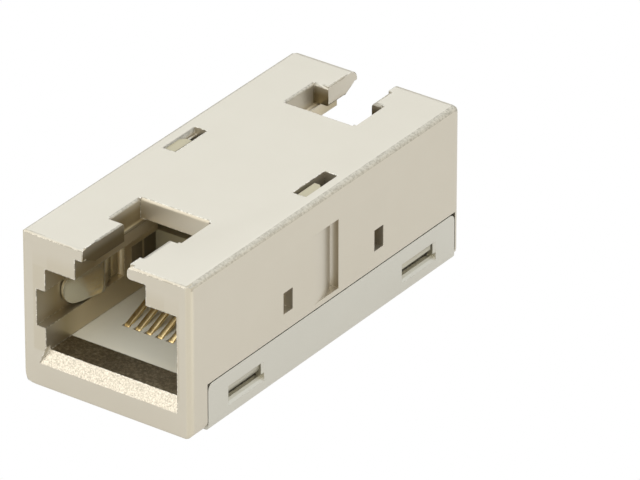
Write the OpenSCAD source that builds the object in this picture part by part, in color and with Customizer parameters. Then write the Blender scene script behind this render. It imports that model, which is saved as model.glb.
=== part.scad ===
// Shielded inline coupler with a plug socket at each end. The die-cast housing
// is closed from below by a clipped cover, and holds a circuit board with two
// sets of eight bent contacts, their carriers, a comb block between the two
// sockets and a shield spring in the side wall of each socket.
//
// All sizes are in millimetres. Height is Z, the front socket opens toward -Y.
// Each socket is drawn in its own frame, opening toward -Y and measured from
// the mid plane of the inner parts; the rear one is the same turned half round.

/* [Height stack] */
// Thickness of the cover's floor plate
cover_t = 0.8; // [0.7:0.05:1.2]
// Free height under the board for the solder joints
solder_room = 0.5; // [0.45:0.05:0.8]
// Thickness of the circuit board
board_t = 0.8; // [0.6:0.1:1.2]
// Thickness of the contact carriers
carrier_t = 1.1; // [1.0:0.05:1.5]
// Height of a plug socket from floor to ceiling
cavity_h = 7.02; // [6.9:0.02:7.4]
// Height of the latch keyway above the ceiling, at its mouth
key_h = 1.72; // [1.5:0.02:2.0]
// Height of the latch keyway above the ceiling, behind its mouth
key_inner_h = 1.1; // [0.8:0.02:1.4]
// Thickness of the two lips at the mouth of the keyway
lip_t = 1.03; // [0.9:0.01:1.4]

/* [Width stack] */
// Width of a plug socket
cavity_w = 12.0; // [11.9:0.02:12.3]
// Sideways shift of a socket from the housing's centre, away from its spring
cavity_shift = 0.45; // [0.4:0.01:0.6]
// Thickness of the housing's skirt inside the cover's flange
skirt_t = 0.45; // [0.4:0.05:0.8]
// Thickness of the cover's flanges
flange_t = 0.7; // [0.6:0.05:0.9]
// Seam between housing and cover
seam = 0.1; // [0.03:0.01:0.15]

/* [Length stack] */
// Mid plane to the face of the comb block, where a plug stops
plug_stop = 4.03; // [3.6:0.01:4.4]
// Comb block face to the front of the contact bends
contact_span = 7.42; // [7.2:0.02:7.7]
// Length of the carrier in front of the contact bends
carrier_lead = 3.4; // [3.1:0.05:3.8]
// Length of the housing floor that overlaps the cover's ends
end_ledge = 0.94; // [0.7:0.02:1.2]
// Thickness of the rear frame beyond the cover
rear_frame = 0.79; // [0.6:0.01:1.0]
// How much longer the front nose is than the rear one
nose_extra = 1.26; // [0.8:0.02:2.4]

/* [Housing edges] */
// Radius along the top edges
top_edge_r = 0.4; // [0.2:0.05:0.8]
// Radius along the bottom edges of both ends
bottom_edge_r = 0.85; // [0.6:0.05:1.3]
// Radius along the bottom edges of the cover
cover_edge_r = 0.3; // [0.1:0.05:0.6]
// Radius of the upright rear corners
rear_corner_r = 0.6; // [0.3:0.05:0.7]
// Radius of the top edge of the rear face
rear_edge_r = 0.6; // [0.3:0.05:0.7]
// Bevel round the front face
face_bevel = 0.16; // [0.1:0.02:0.3]
// Bevel on the rims of the latch windows
rim_bevel = 0.22; // [0.08:0.02:0.25]

/* [Latch keyway] */
// Width of the keyway at its mouth
key_w = 6.45; // [6.2:0.05:6.8]
// Length of the full height at the mouth
key_flat = 0.4; // [0.2:0.05:0.8]
// Length of the mouth, with the ramp behind that height
key_mouth = 1.6; // [1.2:0.05:2.0]
// Width of the keyway behind its mouth
channel_w = 5.55; // [5.2:0.05:5.8]
// Width of the gap between the lips
lip_gap = 4.05; // [3.8:0.05:4.4]
// Radius of the right lips' upper noses
lip_nose_r = 0.46; // [0.2:0.02:0.6]
// Radius of the right lips' lower noses
lip_under_r = 0.26; // [0.1:0.02:0.35]
// Radius of the left lips' edges
lip_edge_r = 0.12; // [0.08:0.02:0.3]
// Contact bends to the inner ends of the lips
lip_lead = 1.48; // [1.2:0.02:1.9]
// Comb block face to the inner end of the keyway
key_end = 0.5; // [0.3:0.05:1.0]
// Length of the latch window behind the lips
latch_window_len = 3.7; // [3.4:0.05:4.2]
// Width of the latch window
latch_window_w = 6.3; // [6.0:0.05:6.6]
// Sideways place of the latch window
latch_window_x = -0.15; // [-0.2:0.01:0.2]

/* [Socket mouth] */
// Height of the lead-in slope at the sill
lead_in_rise = 1.18; // [0.8:0.02:1.4]
// Depth of the lead-in slope at the sill
lead_in_run = 0.5; // [0.4:0.02:0.8]
// Sideways flare of the lead-in at the spring side
lead_in_flare = 0.63; // [0.4:0.01:0.7]
// Height above the sill to which that flare runs up
lead_in_crown = 0.37; // [0.2:0.01:0.6]

/* [Side windows] */
// Mid plane to the centre of a side window
side_window_y = 5.83; // [5.6:0.01:6.0]
// Length of a side window
side_window_len = 1.18; // [1.0:0.02:1.4]
// Height of a side window
side_window_h = 1.8; // [1.6:0.05:2.0]
// Height of a side window above the socket floor
side_window_z = 2.17; // [2.0:0.01:2.4]

/* [Side scoops] */
// Length of the scoop in each side
scoop_len = 3.49; // [3.0:0.01:3.8]
// Height of a scoop
scoop_h = 5.9; // [5.0:0.05:6.2]
// Depth of a scoop at its far end
scoop_depth = 0.75; // [0.5:0.01:0.9]
// Base of the housing to the foot of a scoop
scoop_z = 4.4; // [4.2:0.05:4.8]
// Mid plane to the centre of a scoop
scoop_y = -1.125; // [-1.3:0.005:-0.9]

/* [Top windows] */
// Length of a top window
top_window_len = 4.05; // [3.8:0.05:4.4]
// Width of a top window
top_window_w = 1.2; // [1.1:0.02:1.3]
// Outer edge of a top window from the side of the housing
top_window_in = 1.1; // [1.0:0.02:1.2]
// Width of the ledge that a snap arm's head rests on
ledge_w = 0.25; // [0.15:0.01:0.3]
// Depth of that ledge below the top
ledge_depth = 0.62; // [0.6:0.02:0.8]

/* [Bottom cover] */
// Height of the cover's flanges
flange_h = 3.87; // [3.7:0.01:3.95]
// Radius of the flanges' upper corners
flange_r = 0.6; // [0.2:0.05:0.8]
// Mid plane to the centre of a snap window
snap_y = 11.125; // [10.8:0.025:11.4]
// Length of a snap window
snap_len = 4.15; // [3.6:0.05:4.4]
// Height of a snap window
snap_h = 1.3; // [1.2:0.05:1.4]
// Base to the foot of a snap window
snap_z = 1.3; // [1.25:0.01:1.4]
// Bevel below a snap window
snap_bevel = 0.36; // [0.2:0.02:0.45]
// How far the hooks stand out into the windows
hook_out = 0.5; // [0.35:0.01:0.55]
// Height of the hooks' upright part, above their slope
hook_flat = 0.6; // [0.4:0.05:0.7]
// Play between a hook and its window
hook_play = 0.1; // [0.06:0.01:0.16]
// Width of the board's rests on the cover
rest_w = 0.8; // [0.6:0.05:1.0]

/* [Contacts] */
// Distance between neighbouring contacts
contact_pitch = 1.016; // [0.98:0.002:1.04]
// Width of a contact
contact_w = 0.46; // [0.4:0.01:0.5]
// Thickness of a contact
contact_t = 0.3; // [0.24:0.01:0.34]
// Rise of a contact's free arm in degrees
contact_rise = 21; // [19:0.1:22]
// Radius of the bend, at the middle of the strip
bend_r = 0.35; // [0.3:0.01:0.38]
// Radius at the tail, at the middle of the strip
knee_r = 0.3; // [0.25:0.01:0.35]
// Mid plane to the near row of tails
tail_row = 5.2; // [5.0:0.05:5.6]
// Distance between the two rows of tails
row_gap = 1.8; // [1.5:0.05:2.2]
// How far a tail stands out below the board
tail_out = 0.25; // [0.2:0.01:0.3]
// Play on each side of a contact in its slot
slot_play = 0.1; // [0.07:0.01:0.14]
// Height of a contact's leg above the board
leg_lift = 0.25; // [0.2:0.01:0.35]
// Length of a contact's notch in the carrier, behind the bend
notch_len = 1.15; // [1.1:0.05:1.5]
// Depth of the comb's slots
comb_slot = 1.2; // [1.0:0.05:1.5]
// Play around the tip of a contact in the comb
tip_play = 0.35; // [0.25:0.01:0.45]
// Plastic above the comb's slots
comb_cap = 0.54; // [0.5:0.02:1.2]

/* [Circuit board] */
// Diameter of a tail's hole in the board
tail_hole = 0.7; // [0.66:0.01:0.8]
// Diameter of a solder joint on the board
joint_d = 1.0; // [0.9:0.02:1.2]
// Height of a solder joint
joint_h = 0.2; // [0.12:0.01:0.25]
// Board's side edge to the middle of a carrier's peg
peg_in = 1.94; // [1.2:0.02:2.4]
// Diameter of the locating pegs
peg_d = 1.0; // [0.8:0.05:1.2]
// Play around a locating peg
peg_play = 0.05; // [0.04:0.01:0.1]

/* [Snap arms] */
// Thickness of a snap arm
arm_t = 0.64; // [0.5:0.02:0.7]
// Width of a snap arm
arm_w = 2.35; // [1.8:0.05:2.6]
// Play between a snap arm and the near end of its window
arm_play = 0.08; // [0.05:0.01:0.15]
// Height of a snap arm's head
head_h = 0.4; // [0.3:0.02:0.44]
// Slant at the corner of a snap arm
arm_slant = 0.4; // [0.2:0.05:0.5]

/* [Shield spring] */
// Thickness of the spring sheet
spring_t = 0.2; // [0.15:0.01:0.25]
// Width of the spring's leaf
spring_w = 2.7; // [2.5:0.05:2.9]
// Depth of the spring's groove in the socket wall
groove_depth = 0.83; // [0.75:0.01:0.9]
// Height of the spring's groove
groove_h = 3.1; // [3.0:0.05:3.4]
// Height of the groove above the socket floor
groove_z = 2.02; // [1.9:0.01:2.15]
// Contact bends to the tip of the leaf
spring_lead = 3.68; // [3.4:0.02:3.9]
// Length of the leaf from its tip to its crest
leaf_rise = 3.7; // [3.4:0.02:4.0]
// Length of the leaf from its crest back to the wall
leaf_return = 2.23; // [2.0:0.01:2.5]
// Length of the pad that holds the spring in the groove
pad_len = 0.87; // [0.6:0.01:1.1]
// How far the crest stands into the socket
crest_in = 0.49; // [0.4:0.01:0.6]
// Lift of the leaf's tip off the groove
tip_lift = 0.08; // [0.04:0.01:0.15]
// Radius of the bend at the crest
crest_r = 0.7; // [0.4:0.05:1.0]
// Radius of the bend at the heel
heel_r = 0.5; // [0.4:0.05:0.8]
// Length of the shallow pocket in the spring's wall
pocket_len = 3.35; // [3.0:0.05:3.7]
// Depth of that pocket
pocket_depth = 0.25; // [0.15:0.01:0.35]
// Margin of that pocket above and below the side windows' height
pocket_rim = 0.06; // [0.03:0.01:0.1]

/* [Fit] */
// Play between parts that slide together
play = 0.03; // [0.02:0.01:0.05]
// Play beside the comb block and the carriers
side_play = 0.06; // [0.04:0.01:0.1]

/* [Hidden] */

// Smoothness of round shapes, and steps in a bend
$fn = 48;
bend_steps = 12;
// Overshoot of a cut past the surface that it opens
cut = 1;
contact_count = 8;

// Heights from the base
rest_top = cover_t + solder_room - play;
board_base = cover_t + solder_room;
board_top = board_base + board_t;
carrier_top = board_top + carrier_t;
sill_z = carrier_top + play;
ceiling_z = sill_z + cavity_h;
key_z = ceiling_z + key_h;
channel_top = ceiling_z + key_inner_h;
body_h = key_z + lip_t;

// Widths from the centre
chamber_x = cavity_w / 2 + cavity_shift;
board_x = chamber_x - side_play;
skirt_x = chamber_x + skirt_t;
flange_x = skirt_x + seam;
side_x = flange_x + flange_t;
body_w = 2 * side_x;
spring_wall_x = cavity_shift - cavity_w / 2;
groove_x = spring_wall_x - groove_depth;
window_out_x = side_x - top_window_in;
window_in_x = window_out_x - top_window_w;
void_x = window_out_x - ledge_w;
comb_x = void_x - side_play;

// Lengths from the mid plane of the inner parts
nose_reach = plug_stop + contact_span;
lip_reach = nose_reach + lip_lead;
carrier_reach = nose_reach + carrier_lead;
chamber_reach = carrier_reach + side_play;
cover_reach = chamber_reach + end_ledge;
rear_reach = cover_reach + seam + rear_frame;
front_reach = rear_reach + nose_extra;
body_len = front_reach + rear_reach;
mid_y = (front_reach - rear_reach) / 2;
window_reach = lip_reach - latch_window_len;

// Shield spring, from its tip to the inner end of its groove
spring_tip = nose_reach + spring_lead;
spring_crest = spring_tip - leaf_rise;
spring_heel = spring_crest - leaf_return;
groove_reach = spring_heel - pad_len - play;

// Contact strip: middle line from the tail, round the bend, to the tip
leg_z = board_top + leg_lift + contact_t / 2;
bend_y = -(nose_reach - bend_r - contact_t / 2);
bend_z = leg_z + bend_r;
arm_start = [bend_y - bend_r * sin(contact_rise), bend_z + bend_r * cos(contact_rise)];
tip_reach = plug_stop - comb_slot + tip_play;
tip = arm_start + (-tip_reach - arm_start.x) * [1, tan(contact_rise)];
fold = [bend_y - bend_r * tan(90 - contact_rise / 2), leg_z];
tail_end_z = board_base - tail_out;
slot_w = contact_w + 2 * slot_play;
comb_slot_top = tip.y + contact_t / 2 + tip_play;
comb_top = comb_slot_top + comb_cap;

// Snap arms of the comb block in the top windows
window_near = -top_window_len / 2;
ledge_z = body_h - ledge_depth;
head_z = ledge_z + play;
arm_x = comb_x - arm_t;

function contact_x(i) = cavity_shift + (i - (contact_count + 1) / 2) * contact_pitch;
function tail_y(i) = -(tail_row + (i % 2) * row_gap);

// ---- strips of sheet bent along a middle line ----

function unit(v) = v / norm(v);
function left_of(v) = [-v.y, v.x];
function reversed(list) = [for (i = [len(list) - 1 : -1 : 0]) list[i]];

// Points round corner i of a middle line, at the distance "side" to its left
function bend(path, i, r, side) =
    let (
        u = unit(path[i] - path[i - 1]),
        v = unit(path[i + 1] - path[i]),
        turn = acos(u * v),
        hand = sign(cross(u, v)),
        centre = path[i] - r * tan(turn / 2) * u + hand * r * left_of(u),
        start = atan2(-hand * u.x, hand * u.y)
    )
    [for (k = [0 : bend_steps])
        let (a = start + hand * turn * k / bend_steps)
        centre + (r - hand * side) * [cos(a), sin(a)]];

function side_line(path, radii, side) =
    let (n = len(path) - 1)
    concat(
        [path[0] + side * left_of(unit(path[1] - path[0]))],
        [for (i = [1 : n - 1]) each bend(path, i, radii[i - 1], side)],
        [path[n] + side * left_of(unit(path[n] - path[n - 1]))]
    );

module strip(path, radii, t) {
    polygon(concat(side_line(path, radii, t / 2), reversed(side_line(path, radii, -t / 2))));
}

// ---- helpers that place flat outlines ----

// An outline in Y and Z, made w thick about X = 0
module across(w) {
    rotate([90, 0, 90]) linear_extrude(w, center = true) children();
}

// An outline in Y and Z, drawn from x0 to x1
module across_at(x0, x1) {
    translate([(x0 + x1) / 2, 0, 0]) across(x1 - x0) children();
}

// An outline in X and Z, drawn from y0 to y1
module lengthwise(y0, y1) {
    translate([0, y1, 0]) rotate([90, 0, 0]) linear_extrude(y1 - y0) children();
}

// A block given by its lowest and highest corners
module block(low, high) {
    translate(low) cube(high - low);
}

// A square rod on its edge: cut along an edge, it leaves a bevel of the given size
module edge_rod(size, length) {
    rotate([90, 0, 0]) linear_extrude(length, center = true)
        rotate(45) square(size * sqrt(2), center = true);
}

// The waste outside a rounded corner at the origin, whose metal lies toward -x, -y
module corner_waste(r) {
    translate([-r, -r]) difference() {
        square(r + cut);
        circle(r);
    }
}

module at_rear() {
    rotate(180) children();
}

module placed() {
    translate([0, mid_y, 0]) children();
}

// ---- housing ----

// Section across the length, with the given radius along its bottom edges
module body_section(base_r) {
    hull_x = side_x - top_edge_r;
    base_x = side_x - base_r;
    for (s = [-1, 1]) {
        translate([s * hull_x, body_h - top_edge_r]) circle(top_edge_r);
        translate([s * base_x, base_r]) circle(base_r);
    }
    translate([-hull_x, base_r]) square([2 * hull_x, body_h - base_r]);
    translate([-base_x, 0]) square([2 * base_x, body_h - top_edge_r]);
    translate([-side_x, base_r]) square([body_w, body_h - base_r - top_edge_r]);
}

// Plan of the housing, with its front corners bevelled and its rear ones round
module body_plan() {
    polygon([
        [-side_x + face_bevel, -front_reach],
        [side_x - face_bevel, -front_reach],
        [side_x, -front_reach + face_bevel],
        [side_x, rear_reach - rear_corner_r],
        [-side_x, rear_reach - rear_corner_r],
        [-side_x, -front_reach + face_bevel]
    ]);
    translate([-side_x + rear_corner_r, 0])
        square([body_w - 2 * rear_corner_r, rear_reach]);
    for (s = [-1, 1])
        translate([s * (side_x - rear_corner_r), rear_reach - rear_corner_r])
            circle(rear_corner_r);
}

// Side view of the housing, with its end faces bevelled and its rear top edge round
module body_side() {
    difference() {
        polygon([
            [-front_reach + face_bevel, 0],
            [rear_reach - face_bevel, 0],
            [rear_reach, face_bevel],
            [rear_reach, body_h],
            [-front_reach + face_bevel, body_h],
            [-front_reach, body_h - face_bevel],
            [-front_reach, face_bevel]
        ]);
        translate([rear_reach, body_h]) corner_waste(rear_edge_r);
    }
}

module housing_blank() {
    intersection() {
        lengthwise(-front_reach, rear_reach) body_section(bottom_edge_r);
        linear_extrude(body_h) body_plan();
        across(body_w) body_side();
    }
}

// The gap between two lips with their undersides at under_z: round noses on the
// right, crisp edges on the left
module lip_gap_section(under_z) {
    half = lip_gap / 2;
    translate([-half, under_z - cut]) square([lip_gap, body_h - under_z + 2 * cut]);
    for (s = [0, 1]) mirror([s, 0]) {
        translate([half, body_h]) rotate(90) corner_waste(s == 0 ? lip_nose_r : lip_edge_r);
        translate([half, under_z]) rotate(180) corner_waste(s == 0 ? lip_under_r : lip_edge_r);
    }
}

// The gap between the lips of one socket, toward -Y when end is -1
module lip_gap_cut(end) {
    reach = end < 0 ? front_reach : rear_reach;
    // From, to and underside: the mouth, the ramp and the channel behind it
    for (p = [[reach + cut, reach - key_flat, key_z],
              [reach - key_mouth, lip_reach - cut, channel_top]])
        lengthwise(min(end * p[0], end * p[1]), max(end * p[0], end * p[1]))
            lip_gap_section(p[2]);
    block([-lip_gap / 2, min(end * reach, end * lip_reach), channel_top - cut],
          [lip_gap / 2, max(end * reach, end * lip_reach), body_h + cut]);
}

// Side view of the keyway's mouth, with the ramp down to the channel behind it
module key_mouth_side(reach) {
    polygon([
        [-reach - cut, ceiling_z - cut],
        [-reach - cut, key_z],
        [-reach + key_flat, key_z],
        [-reach + key_mouth, channel_top],
        [-reach + key_mouth, ceiling_z - cut]
    ]);
}

// Side view of the lead-in slope
module lead_in_side(reach) {
    polygon([
        [-reach - cut, sill_z - lead_in_rise],
        [-reach, sill_z - lead_in_rise],
        [-reach + lead_in_run, sill_z],
        [-reach + lead_in_run, sill_z + cut],
        [-reach - cut, sill_z + cut]
    ]);
}

// Everything that is cut away for one socket; reach is the distance to its face
module socket_cut(reach) {
    left = spring_wall_x;
    right = left + cavity_w;
    key_left = cavity_shift - key_w / 2;
    // Plug space
    block([left, -reach - cut, sill_z], [right, -plug_stop, ceiling_z]);
    // Latch keyway, wide and high at its mouth
    across_at(key_left, key_left + key_w) key_mouth_side(reach);
    block([-channel_w / 2, -reach, ceiling_z - cut],
          [channel_w / 2, -plug_stop - key_end, channel_top]);
    // Lead-in slope at the sill
    across_at(left, right) lead_in_side(reach);
    lead_in_corner(reach);
    // Spring groove
    block([groove_x, -reach - cut, sill_z + groove_z],
          [left + cut, -groove_reach, sill_z + groove_z + groove_h]);
    // Shallow pocket behind the spring
    block([left - pocket_depth, -plug_stop - pocket_len, sill_z + side_window_z - pocket_rim],
          [left + cut, -plug_stop, sill_z + side_window_z + side_window_h + pocket_rim]);
}

// The mitred corner of the lead-in, on the spring's side
module lead_in_corner(reach) {
    left = spring_wall_x;
    foot = sill_z - lead_in_rise;
    intersection() {
        lengthwise(-reach - cut, -reach + lead_in_run) polygon([
            [left + cut, foot],
            [left - lead_in_flare, foot],
            [left, sill_z + lead_in_crown],
            [left + cut, sill_z + lead_in_crown]
        ]);
        linear_extrude(ceiling_z) polygon([
            [left + cut, -reach - cut],
            [left - lead_in_flare, -reach - cut],
            [left - lead_in_flare, -reach],
            [left, -reach + lead_in_run],
            [left + cut, -reach + lead_in_run]
        ]);
        across_at(left - lead_in_flare, left + cut) lead_in_side(reach);
    }
}

// Latch window over one socket, toward -Y when end is -1. It is wider than the
// keyway below, which leaves a ledge on each side
module latch_window(end) {
    x0 = latch_window_x - latch_window_w / 2;
    x1 = x0 + latch_window_w;
    y0 = end * window_reach;
    y1 = end * lip_reach;
    block([x0, min(y0, y1), channel_top - play], [x1, max(y0, y1), body_h + cut]);
    translate([latch_window_x, y0, body_h])
        rotate(90) edge_rod(rim_bevel, latch_window_w);
    for (x = [x0, x1]) translate([x, (y0 + y1) / 2, body_h])
        edge_rod(rim_bevel, abs(y1 - y0));
    for (s = [-1, 1]) {
        inner = s * lip_gap / 2;
        outer = s < 0 ? x0 : x1;
        translate([(inner + outer) / 2, y1, body_h])
            rotate(90) edge_rod(rim_bevel, abs(outer - inner));
    }
}

// Window in the top with the ledge for one snap arm, on the +X side
module top_window() {
    block([window_in_x, window_near, ceiling_z - cut], [void_x, -window_near, body_h + cut]);
    block([window_in_x, window_near, ledge_z], [window_out_x, -window_near, body_h + cut]);
}

// Scoop in the +X side: flush at its near end, and deepest at its far end
module side_scoop() {
    r = (scoop_len * scoop_len + scoop_depth * scoop_depth) / (2 * scoop_depth);
    near = scoop_y - scoop_len / 2;
    translate([0, 0, scoop_z]) linear_extrude(scoop_h) difference() {
        translate([side_x - scoop_depth, near]) square([scoop_depth + cut, scoop_len]);
        translate([side_x - r, near]) circle(r, $fn = 4 * $fn);
    }
}

// Window in the +X side; the other side is closed
module side_window(y) {
    low = sill_z + side_window_z;
    block([0, y - side_window_len / 2, low],
          [side_x + cut, y + side_window_len / 2, low + side_window_h]);
}

// One snap hook on the +X skirt
module snap_hook() {
    low = snap_z + hook_play;
    high = snap_z + snap_h - hook_play;
    lengthwise(-snap_len / 2 + hook_play, snap_len / 2 - hook_play) polygon([
        [skirt_x - play, low],
        [skirt_x, low],
        [skirt_x + hook_out, high - hook_flat],
        [skirt_x + hook_out, high],
        [skirt_x - play, high]
    ]);
}

module housing() {
    color([0.81, 0.79, 0.73]) placed() {
        difference() {
            housing_blank();
            // Room for the cover
            block([-side_x - cut, -cover_reach - seam, -cut],
                  [side_x + cut, cover_reach + seam, cover_t + seam]);
            for (s = [-1, 1])
                block([s < 0 ? -side_x - cut : skirt_x, -cover_reach - seam, -cut],
                      [s < 0 ? -skirt_x : side_x + cut, cover_reach + seam, flange_h + seam]);
            // Chamber for board and carriers
            block([-chamber_x, -chamber_reach, -cut], [chamber_x, chamber_reach, sill_z]);
            // Space between the sockets
            block([-void_x, -plug_stop - play, sill_z - cut], [void_x, plug_stop + play, ceiling_z]);
            socket_cut(front_reach);
            at_rear() socket_cut(rear_reach);
            for (end = [-1, 1]) {
                lip_gap_cut(end);
                latch_window(end);
                side_window(end * side_window_y);
            }
            for (s = [0, 1]) mirror([s, 0, 0]) {
                top_window();
                side_scoop();
            }
        }
        for (s = [0, 1], y = [-snap_y, snap_y])
            mirror([s, 0, 0]) translate([0, y, 0]) snap_hook();
    }
}

// ---- bottom cover ----

// Side view of the cover, with the upper corners of its flanges rounded
module cover_side() {
    translate([-cover_reach, 0]) square([2 * cover_reach, flange_h - flange_r]);
    translate([-cover_reach + flange_r, 0]) square([2 * (cover_reach - flange_r), flange_h]);
    for (s = [-1, 1])
        translate([s * (cover_reach - flange_r), flange_h - flange_r]) circle(flange_r);
}

module snap_window() {
    block([flange_x - cut, -snap_len / 2, snap_z], [side_x + cut, snap_len / 2, snap_z + snap_h]);
    translate([side_x, 0, snap_z]) edge_rod(snap_bevel, snap_len + snap_bevel);
    for (y = [-snap_len / 2, snap_len / 2])
        translate([side_x, y, snap_z + snap_h / 2])
            rotate([90, 0, 0]) edge_rod(snap_bevel / 2, snap_h);
}

module bottom_cover() {
    color([0.79, 0.78, 0.74]) placed() {
        difference() {
            intersection() {
                lengthwise(-cover_reach, cover_reach) body_section(cover_edge_r);
                across(body_w) cover_side();
            }
            block([-flange_x, -cover_reach - cut, cover_t],
                  [flange_x, cover_reach + cut, flange_h + cut]);
            for (s = [0, 1], y = [-snap_y, snap_y])
                mirror([s, 0, 0]) translate([0, y, 0]) snap_window();
        }
        for (s = [0, 1]) mirror([s, 0, 0])
            block([chamber_x - side_play - rest_w, -chamber_reach + cover_t, cover_t - play],
                  [chamber_x - side_play, chamber_reach - cover_t, rest_top]);
    }
}

// ---- circuit board and contacts ----

// Places of the locating pegs of one socket's carrier
module at_carrier_pegs() {
    for (s = [-1, 1]) translate([s * (board_x - peg_in), -nose_reach - peg_d, 0]) children();
}

// Places of the comb block's pegs
module at_comb_pegs() {
    for (s = [-1, 1]) translate([s * (comb_x - peg_d), 0, 0]) children();
}

module circuit_board() {
    color([0.16, 0.35, 0.2]) placed() difference() {
        block([-board_x, -carrier_reach, board_base], [board_x, carrier_reach, board_top]);
        for (turn = [0, 180]) rotate(turn) {
            for (i = [1 : contact_count])
                translate([contact_x(i), tail_y(i), board_base - cut])
                    cylinder(d = tail_hole, h = board_t + 2 * cut);
            at_carrier_pegs() translate([0, 0, board_base - cut])
                cylinder(d = peg_d + 2 * peg_play, h = board_t + 2 * cut);
        }
        at_comb_pegs() translate([0, 0, board_base - cut])
            cylinder(d = peg_d + 2 * peg_play, h = board_t + 2 * cut);
    }
}

module contact(i) {
    row = (i % 2) * row_gap;
    color([0.83, 0.67, 0.35]) translate([contact_x(i), 0, 0]) across(contact_w)
        strip([[-tail_row - row, tail_end_z], [-tail_row - row, leg_z], fold, tip],
              [knee_r, bend_r], contact_t);
}

module contact_front(i) {
    placed() contact(i);
}

module contact_rear(i) {
    placed() at_rear() contact(i);
}

// Each contact's leg lies in a groove below, and its bend comes up through a notch
module contact_carrier() {
    notch_front = -nose_reach - slot_play;
    color([0.72, 0.71, 0.66]) {
        difference() {
            block([-board_x, -carrier_reach, board_top], [board_x, -plug_stop - play, carrier_top]);
            for (i = [1 : contact_count]) translate([contact_x(i), 0, 0]) {
                block([-slot_w / 2, notch_front, board_top - cut],
                      [slot_w / 2, tail_y(i) + contact_t, leg_z + contact_t / 2 + slot_play]);
                block([-slot_w / 2, notch_front, board_top - cut],
                      [slot_w / 2, -nose_reach + notch_len, carrier_top + cut]);
            }
        }
        at_carrier_pegs() translate([0, 0, board_base]) cylinder(d = peg_d, h = board_t + play);
    }
}

module contact_carrier_front() {
    placed() contact_carrier();
}

module contact_carrier_rear() {
    placed() at_rear() contact_carrier();
}

module solder_joints() {
    color([0.75, 0.76, 0.78])
        for (i = [1 : contact_count]) translate([contact_x(i), tail_y(i), board_base - joint_h])
            difference() {
                cylinder(d1 = contact_w + contact_t, d2 = joint_d, h = joint_h);
                translate([-contact_w / 2, -contact_t / 2, -cut])
                    cube([contact_w, contact_t, joint_h + 2 * cut]);
            }
}

module solder_joints_front() {
    placed() solder_joints();
}

module solder_joints_rear() {
    placed() at_rear() solder_joints();
}

// ---- comb block between the sockets ----

// Plan of one snap arm, with the corner at its far end slanted
module arm_plan(outer) {
    near = window_near + arm_play;
    far = near + arm_w;
    polygon([
        [arm_x, near],
        [outer, near],
        [outer, far - arm_slant],
        [outer - arm_slant, far],
        [arm_x, far]
    ]);
}

module snap_arm() {
    translate([0, 0, comb_top - play]) linear_extrude(head_z + head_h - comb_top + play)
        arm_plan(comb_x);
    translate([0, 0, head_z]) linear_extrude(head_h) arm_plan(window_out_x - side_play);
}

module contact_comb() {
    color([0.80, 0.79, 0.74]) placed() {
        difference() {
            block([-comb_x, -plug_stop, board_top], [comb_x, plug_stop, comb_top]);
            for (turn = [0, 180]) rotate(turn)
                for (i = [1 : contact_count]) translate([contact_x(i), 0, 0])
                    block([-slot_w / 2, -plug_stop - cut, carrier_top],
                          [slot_w / 2, -plug_stop + comb_slot, comb_slot_top]);
        }
        for (s = [0, 1]) mirror([s, 0, 0]) snap_arm();
        at_comb_pegs() translate([0, 0, board_base]) cylinder(d = peg_d, h = board_t + play);
    }
}

// ---- shield springs ----

// Plan of the spring sheet: tip, crest, heel and the pad in the groove
module spring_plan() {
    wall = groove_x + spring_t / 2;
    crest = spring_wall_x + crest_in - spring_t / 2;
    strip([
            [wall + tip_lift, -spring_tip],
            [crest, -spring_crest],
            [wall, -spring_heel],
            [wall, -spring_heel + pad_len]
          ], [crest_r, heel_r], spring_t);
}

// Side view of the spring sheet: a round-ended leaf and the pad that fills the groove
module spring_side() {
    mid = sill_z + groove_z + groove_h / 2;
    pad_h = groove_h - 2 * play;
    translate([-spring_tip + spring_w / 2, mid]) circle(d = spring_w);
    translate([-spring_tip + spring_w / 2, mid - spring_w / 2])
        square([spring_tip - spring_w / 2 - spring_heel, spring_w]);
    translate([-spring_heel, mid - pad_h / 2]) square([pad_len, pad_h]);
}

module shield_spring() {
    color([0.78, 0.77, 0.74]) intersection() {
        linear_extrude(body_h) spring_plan();
        across(body_w) spring_side();
    }
}

module shield_spring_front() {
    placed() shield_spring();
}

module shield_spring_rear() {
    placed() at_rear() shield_spring();
}

housing();
bottom_cover();
circuit_board();
contact_carrier_front();
contact_carrier_rear();
contact_comb();
contact_front(1);  // contact_front_1
contact_front(2);  // contact_front_2
contact_front(3);  // contact_front_3
contact_front(4);  // contact_front_4
contact_front(5);  // contact_front_5
contact_front(6);  // contact_front_6
contact_front(7);  // contact_front_7
contact_front(8);  // contact_front_8
contact_rear(1);  // contact_rear_1
contact_rear(2);  // contact_rear_2
contact_rear(3);  // contact_rear_3
contact_rear(4);  // contact_rear_4
contact_rear(5);  // contact_rear_5
contact_rear(6);  // contact_rear_6
contact_rear(7);  // contact_rear_7
contact_rear(8);  // contact_rear_8
solder_joints_front();
solder_joints_rear();
shield_spring_front();
shield_spring_rear();
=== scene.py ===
"""Looks of the shielded in-line plug coupler: its finishes, its fine pieces, light and camera.

The CAD nodes carry the shape. This script gives each of them its finish, rounds the housing's
corners, coins the edges of the contact strips and shield springs, adds the plastic round the
contacts' bends, and sets a plain pale studio round the part. Every length is in metres, in the
CAD model's frame: +Y runs from the front socket to the rear one, and +Z is up.
"""

import logging
import math
from dataclasses import dataclass
from enum import Enum
from functools import cached_property

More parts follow.
